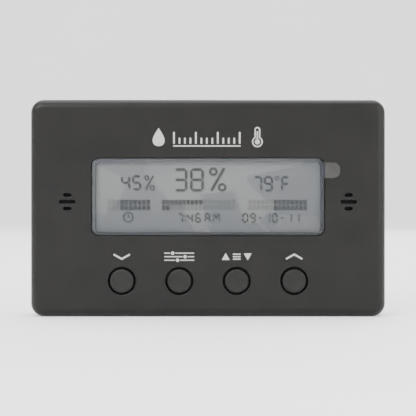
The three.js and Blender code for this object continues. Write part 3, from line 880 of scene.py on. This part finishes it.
def film_sheet():
    """A thin sheet whose tab curls off the case a little."""
    s = Solid()
    low, high = limits("display_film")
    outline = film_outline()
    n = len(outline)
    points = [Vector(p) for p in outline]
    step = 1.2
    columns = int((high.x - low.x) / step)
    rows = int((high.z - low.z) / step)
    for i in range(1, columns):
        for j in range(1, rows):
            points.append(Vector((low.x + i * step, low.z + j * step)))
    edges = [(i, (i + 1) % n) for i in range(n)]
    verts, _, faces, *_ = delaunay_2d_cdt(points, edges, [list(range(n))], 1, 1e-5)
    edge_count = {}
    for face in faces:
        for a, b in zip(face, face[1:] + face[:1]):
            edge_count[(a, b)] = edge_count.get((a, b), 0) + 1
    rim = [(a, b) for a, b in edge_count if (b, a) not in edge_count]
    curl, curl_from = 0.035, lens_high.x + 0.1

    def depth(x):
        return -curl * max(0.0, x - curl_from) ** 2

    for y in (low.y, high.y):
        s.vertices += [(v.x, y + depth(v.x), v.y) for v in verts]
    count = len(verts)
    for face in faces:
        s.faces += [tuple(face), tuple(i + count for i in reversed(face))]
    s.faces += [(a, b, b + count, a + count) for a, b in rim]
    s.tags = [0] * len(s.faces)
    return s


piece("window_film", film_sheet(), film, "case", ["display_film"])

# ---- Keys ----


KEY_RADIUS = 2.9
FLANGE_RADIUS = 3.9
FLANGE_FRONT = INSIDE_FRONT + 0.1
FLANGE_BACK = -2.7


def key_cap(centre):
    """A cap with a shallow dish and a rounded rim, on a flange that keeps it behind the front wall."""
    s = Solid()
    top = limits("key_set")[0].y
    soft = 0.06
    profile = [
        (0.05, top + 0.2),
        (0.5, top + 0.19),
        (1.0, top + 0.155),
        (1.5, top + 0.1),
        (1.9, top + 0.045),
        (2.15, top + 0.01),
        (2.35, top),
        (2.52, top + 0.02),
        (2.67, top + 0.08),
        (2.79, top + 0.19),
        (2.87, top + 0.34),
        (KEY_RADIUS, top + 0.52),
        (KEY_RADIUS, FLANGE_FRONT),
        (FLANGE_RADIUS - soft, FLANGE_FRONT),
        (FLANGE_RADIUS, FLANGE_FRONT + soft),
        (FLANGE_RADIUS, FLANGE_BACK - soft),
        (FLANGE_RADIUS - soft, FLANGE_BACK),
    ]
    s.lathe(profile, centre.x, centre.z)
    return s


for name, centre in zip(key_names, key_centres):
    node = f"key_{name}"
    piece(f"{node}_cap", key_cap(centre), key_plastic, node, [node])

# ---- Printed marks on the case ----

PRINT_DEPTH, PRINT_ROOT = 0.012, 0.02


def ribbon(path, width, closed=False):
    """One outline of constant width along a polyline, mitred at its corners."""
    n = len(path)

    def side(way):
        out = []
        for i, (x, z) in enumerate(path):
            before = path[i - 1] if (i > 0 or closed) else None
            after = path[(i + 1) % n] if (i < n - 1 or closed) else None
            directions = []
            if before:
                directions.append((x - before[0], z - before[1]))
            if after:
                directions.append((after[0] - x, after[1] - z))
            units = [(dx / math.hypot(dx, dz), dz / math.hypot(dx, dz)) for dx, dz in directions]
            nx = -sum(u[1] for u in units)
            nz = sum(u[0] for u in units)
            size = math.hypot(nx, nz)
            nx, nz = nx / size, nz / size
            cosine = -nx * units[0][1] + nz * units[0][0]
            reach = way * width / 2 / max(cosine, 0.4)
            out.append((x + nx * reach, z + nz * reach))
        return out

    return side(-1), side(1)


def add_ribbon(s, path, width, front, back, closed=False):
    """A ribbon made solid."""
    right, left = ribbon(path, width, closed)
    if not closed:
        s.prism(right + left[::-1], front, back)
        return
    loops = [s.loop(right, front), s.loop(right, back), s.loop(left, back), s.loop(left, front)]
    for a, b in zip(loops, loops[1:] + loops[:1]):
        s.wall(a, b)


def droplet(x, z, width, height, steps=24):
    """A water drop with its point up."""
    points = []
    for i in range(steps):
        t = 2 * math.pi * i / steps
        across = math.sin(t) * math.sin(t / 2) ** 1.3
        points.append((x - across * width * 0.62, z + math.cos(t) * height / 2))
    return points


MARK_Z = 43.4  # middle of the marks above the window
SIGN_Z = 14.57  # middle of the signs above the keys


def humidity_marks(s, front, back):
    """A drop, a plain scale and a thermometer."""
    s.prism(droplet(-11.9, MARK_Z, 3.2, 4.4), front, back)
    ticks, pitch, start = 13, 1.32, -8.2
    tall, short = 2.9, 1.5
    for i in range(ticks):
        height = tall if i % 4 == 0 else short
        z = MARK_Z - 0.2 + (height - tall) / 2
        s.prism(rounded(0.42, height, 0.18, start + i * pitch, z, 3), front, back)
    add_ribbon(s, [(-8.4, MARK_Z - 2.15), (7.85, MARK_Z - 2.15)], 0.3, front, back)
    x, bulb_z = 11.9, MARK_Z - 1.15
    bulb = arc_points(x, bulb_z, 1.15, 118, 422, 20)
    tip = arc_points(x, MARK_Z + 1.75, 0.54, 0, 180, 8)
    add_ribbon(s, bulb + tip, 0.3, front, back, closed=True)
    s.prism(round_outline(0.62, x, bulb_z, 20), front, back)
    s.prism(rounded(0.36, 2.2, 0.17, x, MARK_Z + 0.35, 3), front, back)


def chevron(s, x, way, front, back):
    rise = 0.55 * way
    path = [(x - 1.95, SIGN_Z - rise), (x, SIGN_Z + rise), (x + 1.95, SIGN_Z - rise)]
    add_ribbon(s, path, 0.42, front, back)


def settings_sign(s, x, front, back):
    """Three sliders."""
    reach, gap = 3.6, 0.62
    for row, knob in ((0.85, -1.6), (0.0, 1.4), (-0.85, -0.4)):
        z = SIGN_Z + row
        add_ribbon(s, [(x - reach, z), (x + knob - gap, z)], 0.26, front, back)
        add_ribbon(s, [(x + knob + gap, z), (x + reach, z)], 0.26, front, back)
        s.prism(round_outline(0.42, x + knob, z, 16), front, back)


def recall_sign(s, x, front, back):
    """The highest, the stored and the lowest value."""
    up = [(x - 3.6, SIGN_Z - 0.8), (x - 1.7, SIGN_Z - 0.8), (x - 2.65, SIGN_Z + 0.9)]
    down = [(x + 1.7, SIGN_Z + 0.8), (x + 2.65, SIGN_Z - 0.9), (x + 3.6, SIGN_Z + 0.8)]
    s.prism(up, front, back)
    for row in (0.6, 0.0, -0.6):
        s.prism(rounded(1.9, 0.3, 0.12, x, SIGN_Z + row, 3), front, back)
    s.prism(down, front, back)


def front_print():
    """The marks above the window and a sign above each key."""
    s = Solid()
    depths = (FRONT - PRINT_DEPTH, FRONT + PRINT_ROOT)
    humidity_marks(s, *depths)
    down, settings, recall, up = (centre.x for centre in key_centres)
    chevron(s, down, -1, *depths)
    chevron(s, up, 1, *depths)
    settings_sign(s, settings, *depths)
    recall_sign(s, recall, *depths)
    return s


piece("front_print", front_print(), ink)

# ---- What the display shows ----

GLYPHS = {
    "0": "abcdef", "1": "bc", "2": "abged", "3": "abgcd", "4": "fgbc", "5": "afgcd",
    "6": "afgedc", "7": "abc", "8": "abcdefg", "9": "abcdfg", "A": "abcefg", "F": "aefg", "-": "g",
}  # fmt: skip


def segment(kind, x, z, width, height, stroke):
    """One bar of a seven-segment figure whose lower left corner is (x, z), with pointed ends."""
    gap, half = stroke * 0.12, stroke / 2
    if kind in "agd":
        level = z + {"a": height - half, "g": height / 2, "d": half}[kind]
        left, right = x + half + gap, x + width - half - gap
        return [
            (left, level), (left + half, level - half), (right - half, level - half),
            (right, level), (right - half, level + half), (left + half, level + half),
        ]  # fmt: skip
    side = x + half if kind in "ef" else x + width - half
    low, high = (half, height / 2) if kind in "ec" else (height / 2, height - half)
    foot, head = z + low + gap, z + high - gap
    return [
        (side, foot), (side + half, foot + half), (side + half, head - half),
        (side, head), (side - half, head - half), (side - half, foot + half),
    ]  # fmt: skip


def figure(s, char, x, z, width, height, stroke, front, back):
    for kind in GLYPHS[char]:
        s.prism(segment(kind, x, z, width, height, stroke), front, back)


def letter_m(s, x, z, width, height, stroke, front, back):
    for kind in "bcef":
        s.prism(segment(kind, x, z, width, height, stroke), front, back)
    middle, half = x + width / 2, stroke * 0.42
    low, high = z + height * 0.45, z + height
    for way in (-1, 1):
        top, foot = middle + way * (width / 2 - stroke * 1.2), middle + way * stroke * 0.3
        leg = [(foot - half, low), (foot + half, low), (top + half, high), (top - half, high)]
        s.prism(leg, front, back)


def percent(s, x, z, width, height, stroke, front, back):
    """A slanted bar between two rings."""
    end = stroke * 0.3
    path = [(x + width * 0.12, z + end), (x + width * 0.88, z + height - end)]
    add_ribbon(s, path, stroke, front, back)
    radius = min(width, height) * 0.19
    across, up = radius + stroke * 0.3, radius + stroke * 0.4
    for ring_x, ring_z in ((x + across, z + height - up), (x + width - across, z + up)):
        ring = round_outline(radius, ring_x, ring_z, 16)
        add_ribbon(s, ring, stroke * 0.8, front, back, closed=True)


def degree(s, x, z, radius, stroke, front, back):
    add_ribbon(s, round_outline(radius, x, z, 14), stroke, front, back, closed=True)


def bar(s, start, end, bottom, top, cells, dark, with_off, front, back):
    """A row of small blocks, the ones in the dark range shown on."""
    pitch = (end - start) / cells
    gap = 0.09
    for i in range(cells):
        if i not in dark and not with_off:
            continue
        left, right = start + i * pitch + gap, start + (i + 1) * pitch - gap
        shape = [(left, bottom), (right, bottom), (right, top), (left, top)]
        s.prism(shape, front, back, 0 if i in dark else 1)


TIME_Z = 22.7  # foot of the row with the time and the date

# Each figure: what it says, its lower left corner, and its width, height and stroke.
FIGURES = (
    ("4", -21.2, 30.6, 2.3, 3.7, 0.56),
    ("5", -18.5, 30.6, 2.3, 3.7, 0.56),
    ("3", -8.4, 30.3, 3.4, 5.7, 0.66),
    ("8", -4.4, 30.3, 3.4, 5.7, 0.66),
    ("7", 10.9, 30.3, 2.3, 3.8, 0.56),
    ("9", 13.5, 30.3, 2.3, 3.8, 0.56),
    ("F", 17.7, 30.3, 2.2, 3.8, 0.56),
    ("7", -7.5, TIME_Z, 1.5, 2.4, 0.42),
    ("4", -5.1, TIME_Z, 1.5, 2.4, 0.42),
    ("6", -3.2, TIME_Z, 1.5, 2.4, 0.42),
    ("A", -0.9, TIME_Z, 1.5, 2.4, 0.42),
)
# Each bar: its ends, its number of blocks, and the blocks that are on in its upper and lower rows.
BARS = (
    (-24.6, -14.0, 10, range(3, 10), range(3, 10)),
    (-11.3, 6.7, 18, range(0, 10), range(0, 2)),
    (9.7, 24.1, 14, range(6, 14), range(6, 14)),
)
BAR_ROWS = ((27.15, 28.3), (25.8, 26.95))


def readout(dx, dz, front, back, with_off):
    """All the figures and signs of the display, and the blocks of its bars that are off."""
    s = Solid()
    face = limits("lcd_front_polariser")[0].y
    depths = (face + front, face + back)
    for char, x, z, *size in FIGURES:
        figure(s, char, x + dx, z + dz, *size, *depths)
    percent(s, -15.5 + dx, 30.6 + dz, 2.5, 3.7, 0.42, *depths)
    percent(s, 0.3 + dx, 30.3 + dz, 4.1, 5.9, 0.66, *depths)
    degree(s, 16.75 + dx, 33.6 + dz, 0.42, 0.26, *depths)
    letter_m(s, 1.1 + dx, TIME_Z + dz, 1.9, 2.4, 0.42, *depths)
    for start, end, cells, *rows in BARS:
        for (bottom, top), dark in zip(BAR_ROWS, rows):
            place = (start + dx, end + dx, bottom + dz, top + dz)
            bar(s, *place, cells, dark, with_off, *depths)
    # A clock sign, the colon of the time, and the date.
    x, z = -19.4 + dx, TIME_Z + 1.4 + dz
    add_ribbon(s, round_outline(1.15, x, z, 24), 0.32, *depths, closed=True)
    add_ribbon(s, [(x, z + 0.75), (x, z), (x + 0.55, z - 0.1)], 0.24, *depths)
    for rise in (0.65, 1.6):
        s.prism(rounded(0.34, 0.34, 0.1, -5.6 + dx, TIME_Z + dz + rise, 2), *depths)
    x = 8.3 + dx
    for char in "09-10-11":
        width, thick = (1.25, 0.3) if char == "-" else (1.5, 0.42)
        figure(s, char, x, TIME_Z + dz, width, 2.4, thick, *depths)
        x += width + 0.36
    return s


# The figures lie just in front of the polariser, and their faint painted shadow, a darker copy of them,
# lies on it a little lower.
piece("lcd_readout", readout(0.0, 0.0, -0.03, -0.01, True), [segment_dark, segment_ghost])
piece("lcd_readout_painted_shadow", readout(0.16, -0.2, -0.009, -0.003, False), painted_segment_shadow)

# ---- Marks on the back ----

LOCKED_ANGLE = 90  # degrees from +X towards +Z, where the closed padlock stands
OPEN_ANGLE = LOCKED_ANGLE - DOOR_TURN


def back_marks():
    """Printed marks beside the door: an open and a closed padlock, each with a pointer."""
    s = Solid()
    depths = (BACK + PRINT_DEPTH, BACK - PRINT_ROOT)
    for angle, is_open in ((OPEN_ANGLE, True), (LOCKED_ANGLE, False)):
        a = math.radians(angle)
        along, out = (math.sin(a), -math.cos(a)), (math.cos(a), math.sin(a))

        def place(points, reach=15.6):
            return [
                (
                    CELL_X + along[0] * u + out[0] * (reach + v),
                    CELL_Z + along[1] * u + out[1] * (reach + v),
                )
                for u, v in points
            ]

        s.prism(place([(-1.0, -0.2), (1.0, -0.2), (0.0, -1.5)]), *depths)
        s.prism(place(rounded(3.8, 2.7, 0.4, 0.0, 2.0, 3)), *depths)
        shift, free_end = (-2.2, 4.0) if is_open else (0.0, 3.2)
        hoop = arc_points(shift, 4.4, 1.1, 0, 180, 10)
        right, left = ribbon([(shift + 1.1, 3.2), *hoop, (shift - 1.1, free_end)], 0.6)
        s.prism(place(right + left[::-1]), *depths)
    return s


piece("back_marks", back_marks(), ink)


def door_mark():
    """A printed pointer on the door, which meets the open padlock at rest."""
    s = Solid()
    points = [turned_point(x, z, OPEN_ANGLE) for x, z in ((10.0, -0.75), (11.4, 0.0), (10.0, 0.75))]
    s.prism(points, BACK + PRINT_DEPTH, BACK - PRINT_ROOT)
    return s


piece("cell_door_mark", door_mark(), ink, "door")


def polarity_mark():
    """A plus sign stamped into relief on the cell's positive face."""
    s = Solid()
    rise, relief = 4.5, 0.03
    points = [(CELL_X + x, CELL_Z + rise + z) for x, z in plus_outline(2.4, 0.35)]
    s.prism(points, cell_high.y - relief, cell_high.y + relief)
    return s


piece("cell_polarity_mark", polarity_mark(), stainless, "case")

# ---- Finishes for the CAD nodes that stay ----

finishes = {
    "case_plastic": case_plastic,
    "key_plastic": key_plastic,
    "lens_acrylic": acrylic,
    "film_clear": film,
    "tape_grey": tape,
    "lcd_glass": glass,
    "polariser": polariser,
    "reflector": reflector,
    "zebra_elastomer": zebra,
    "carrier_plastic": carrier,
    "silicone": silicone,
    "carbon": carbon,
    "board_laminate": laminate,
    "epoxy_black": epoxy,
    "ceramic_dark": ceramic_dark,
    "ceramic_tan": ceramic_tan,
    "sensor_white": sensor_cap,
    "membrane": membrane,
    "nickel_plate": nickel,
    "stainless": stainless,
    "lithium": lithium,
    "black_zinc": black_zinc,
}
ROUND_NODES = {
    "coin_cell_can",
    "coin_cell_cap",
    "controller_glob_top",
    "clock_crystal",
    "keypad_mat",
    "thermistor",
}
ROUND_SHARP_ANGLE = 32  # degrees between faces of a round node that still blend


def shade(mesh, smooth):
    """Flat or smooth faces. Where smooth, the sharp edges stay sharp."""
    for polygon in mesh.polygons:
        polygon.use_smooth = smooth
    if smooth:
        bm = bmesh.new()
        bm.from_mesh(mesh)
        for edge in bm.edges:
            edge.smooth = edge.calc_face_angle(0.0) < math.radians(ROUND_SHARP_ANGLE)
        bm.to_mesh(mesh)
        bm.free()


for part in frame["record"]["subparts"]:
    node = frame["nodes"][part["node"]]
    for socket in node.material_slots:
        socket.material = finishes[part["material_slot"]]
    shade(node.data, part["node"] in ROUND_NODES)

# ---- Floor, lights and camera ----


def backdrop():
    """A pale round floor that sweeps up into a pale wall all the way round."""
    flat, radius, top, count = 2.0, 0.9, 2.2, 96
    profile = [(0.0, 0.0), (0.3, 0.0), (1.0, 0.0), (flat, 0.0)]
    for i in range(1, 15):
        a = math.radians(90 * i / 14)
        profile.append((flat + radius * math.sin(a), radius - radius * math.cos(a)))
    profile.append((flat + radius, top))
    vertices = [(0.0, 0.0, 0.0)]
    faces = []
    for r, z in profile[1:]:
        vertices += [
            (r * math.cos(2 * math.pi * i / count), r * math.sin(2 * math.pi * i / count), z)
            for i in range(count)
        ]
    for i in range(count):
        j = (i + 1) % count
        faces.append((0, 1 + i, 1 + j))
        for ring in range(len(profile) - 2):
            a, b = 1 + ring * count, 1 + (ring + 1) * count
            faces.append((a + i, b + i, b + j, a + j))
    mesh = bpy.data.meshes.new("backdrop")
    mesh.from_pydata(vertices, [], faces)
    for polygon in mesh.polygons:
        polygon.use_smooth = True
    thing = bpy.data.objects.new("backdrop", mesh)
    bpy.context.scene.collection.objects.link(thing)
    paper = new_material("backdrop_paper", (0.9, 0.9, 0.9), 0.8, Emission_Strength=0.2)
    shader_of(paper).inputs["Emission Color"].default_value = (1.0, 1.0, 1.0, 1.0)
    blend_colors(paper, noise(paper, 3.0), (0.89, 0.89, 0.89), (0.91, 0.91, 0.91))
    mesh.materials.append(paper)
    thing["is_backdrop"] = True


backdrop()


def area_light(name, place, target, size, power, color=(1.0, 1.0, 1.0)):
    data = bpy.data.lights.new(name, "AREA")
    data.shape = "RECTANGLE"
    data.size, data.size_y = size
    data.energy = power
    data.color = color
    thing = bpy.data.objects.new(name, data)
    thing.location = place
    thing.rotation_euler = (Vector(target) - Vector(place)).to_track_quat("-Z", "Y").to_euler()
    bpy.context.scene.collection.objects.link(thing)


low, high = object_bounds()
centre = (low + high) / 2
area_light("key_light", (-0.55, -0.75, 0.75), centre, (0.7, 0.5), 10.5)
area_light("fill_light", (0.7, -0.6, 0.35), centre, (0.6, 0.6), 4.0)
area_light("top_light", (0.0, 0.1, 0.9), centre, (0.9, 0.6), 7.0)
area_light("back_light", (0.3, 0.75, 0.5), centre, (0.6, 0.4), 3.5)

world = bpy.data.worlds.new("studio")
world.use_nodes = True
world.node_tree.nodes["Background"].inputs["Color"].default_value = (1.0, 1.0, 1.0, 1.0)
world.node_tree.nodes["Background"].inputs["Strength"].default_value = 1.75
bpy.context.scene.world = world

camera_data = bpy.data.cameras.new("camera")
camera_data.lens = 85.0
camera_data.sensor_width = 36.0
camera = bpy.data.objects.new("camera", camera_data)
bpy.context.scene.collection.objects.link(camera)
WIDTH_IN_FRAME = 0.86
distance = (high.x - low.x) / WIDTH_IN_FRAME * camera_data.lens / camera_data.sensor_width
camera.location = (centre.x, low.y - distance, centre.z)
camera.rotation_euler = (math.radians(90.0), 0.0, 0.0)
camera_data.clip_start = 0.01
bpy.context.scene.camera = camera
